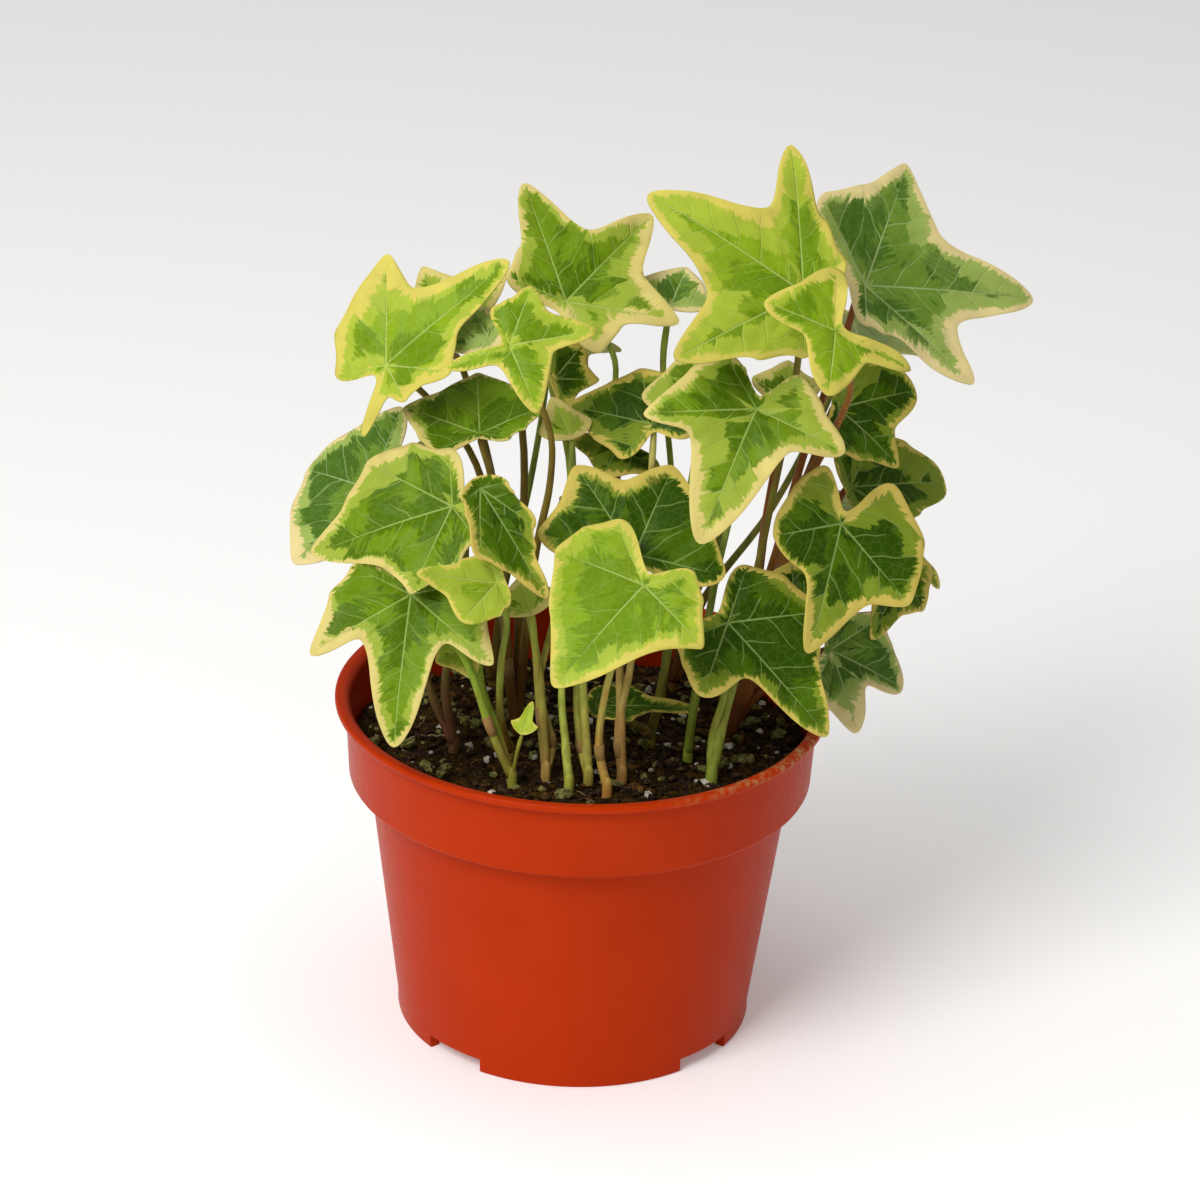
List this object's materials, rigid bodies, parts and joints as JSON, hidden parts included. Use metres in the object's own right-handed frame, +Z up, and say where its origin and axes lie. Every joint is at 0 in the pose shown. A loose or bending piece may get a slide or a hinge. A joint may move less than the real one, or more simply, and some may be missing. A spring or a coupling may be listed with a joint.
{
  "type": "potted ivy",
  "caption": "Variegated ivy with yellow-edged lobed leaves on thin stalks, growing in a terracotta-red plastic nursery pot filled with peat.",
  "frame": {"origin": "on the floor under the middle of the whole plant's bounding box; the pot's own axis stands 16 mm to the left of it and about 1 mm behind it", "axes": "+Z up, -Y is the front, +X is to the right seen from the front"},
  "size_m": [0.158, 0.1083, 0.2003],
  "materials": {
    "pot_plastic": "satin injection-moulded terracotta-red plastic",
    "peat": "moist peat with perlite grains",
    "stalk": "young green and red-brown bark, satin",
    "leaf_lime": "young variegated leaf, soft sheen",
    "leaf_green": "variegated leaf, soft sheen",
    "leaf_dark_green": "older variegated leaf, soft sheen",
    "leaf_grey_green": "variegated leaf with a grey-green bloom"
  },
  "bodies": {
    "root": {"pot": "pot_plastic", "soil": "peat", "stem_front_left": "stalk", "stem_left_curl": "stalk", "stem_left": "stalk", "stem_middle_back": "stalk", "stem_thin_front": "stalk", "stem_front_a": "stalk", "stem_front_b": "stalk", "stem_front_c": "stalk", "stem_front_d": "stalk", "stem_middle": "stalk", "stem_right_thin": "stalk", "stem_right_front": "stalk", "stem_right": "stalk", "stem_right_back": "stalk", "stem_back_left": "stalk", "stem_back_right": "stalk", "leaf_01": "leaf_green", "leaf_02": "leaf_lime", "leaf_03": "leaf_lime", "leaf_04": "leaf_dark_green", "leaf_05": "leaf_dark_green", "leaf_06": "leaf_dark_green", "leaf_07": "leaf_lime", "leaf_08": "leaf_lime", "leaf_09": "leaf_lime", "leaf_10": "leaf_grey_green", "leaf_11": "leaf_dark_green", "leaf_12": "leaf_grey_green", "leaf_13": "leaf_dark_green", "leaf_14": "leaf_dark_green", "leaf_15": "leaf_dark_green", "leaf_16": "leaf_grey_green", "leaf_17": "leaf_dark_green", "leaf_18": "leaf_lime", "leaf_19": "leaf_dark_green", "leaf_20": "leaf_dark_green", "leaf_21": "leaf_lime", "leaf_22": "leaf_green", "leaf_23": "leaf_grey_green", "leaf_24": "leaf_green", "leaf_25": "leaf_lime", "leaf_26": "leaf_grey_green", "leaf_27": "leaf_lime", "leaf_28": "leaf_dark_green", "leaf_29": "leaf_grey_green", "leaf_30": "leaf_dark_green", "leaf_31": "leaf_green", "leaf_32": "leaf_green", "leaf_33": "leaf_green", "leaf_34": "leaf_dark_green", "leaf_35": "leaf_dark_green", "leaf_36": "leaf_green", "leaf_37": "leaf_dark_green", "leaf_38": "leaf_dark_green", "leaf_39": "leaf_green", "leaf_40": "leaf_green", "leaf_41": "leaf_green", "leaf_42": "leaf_green"}
  },
  "joints": []
}
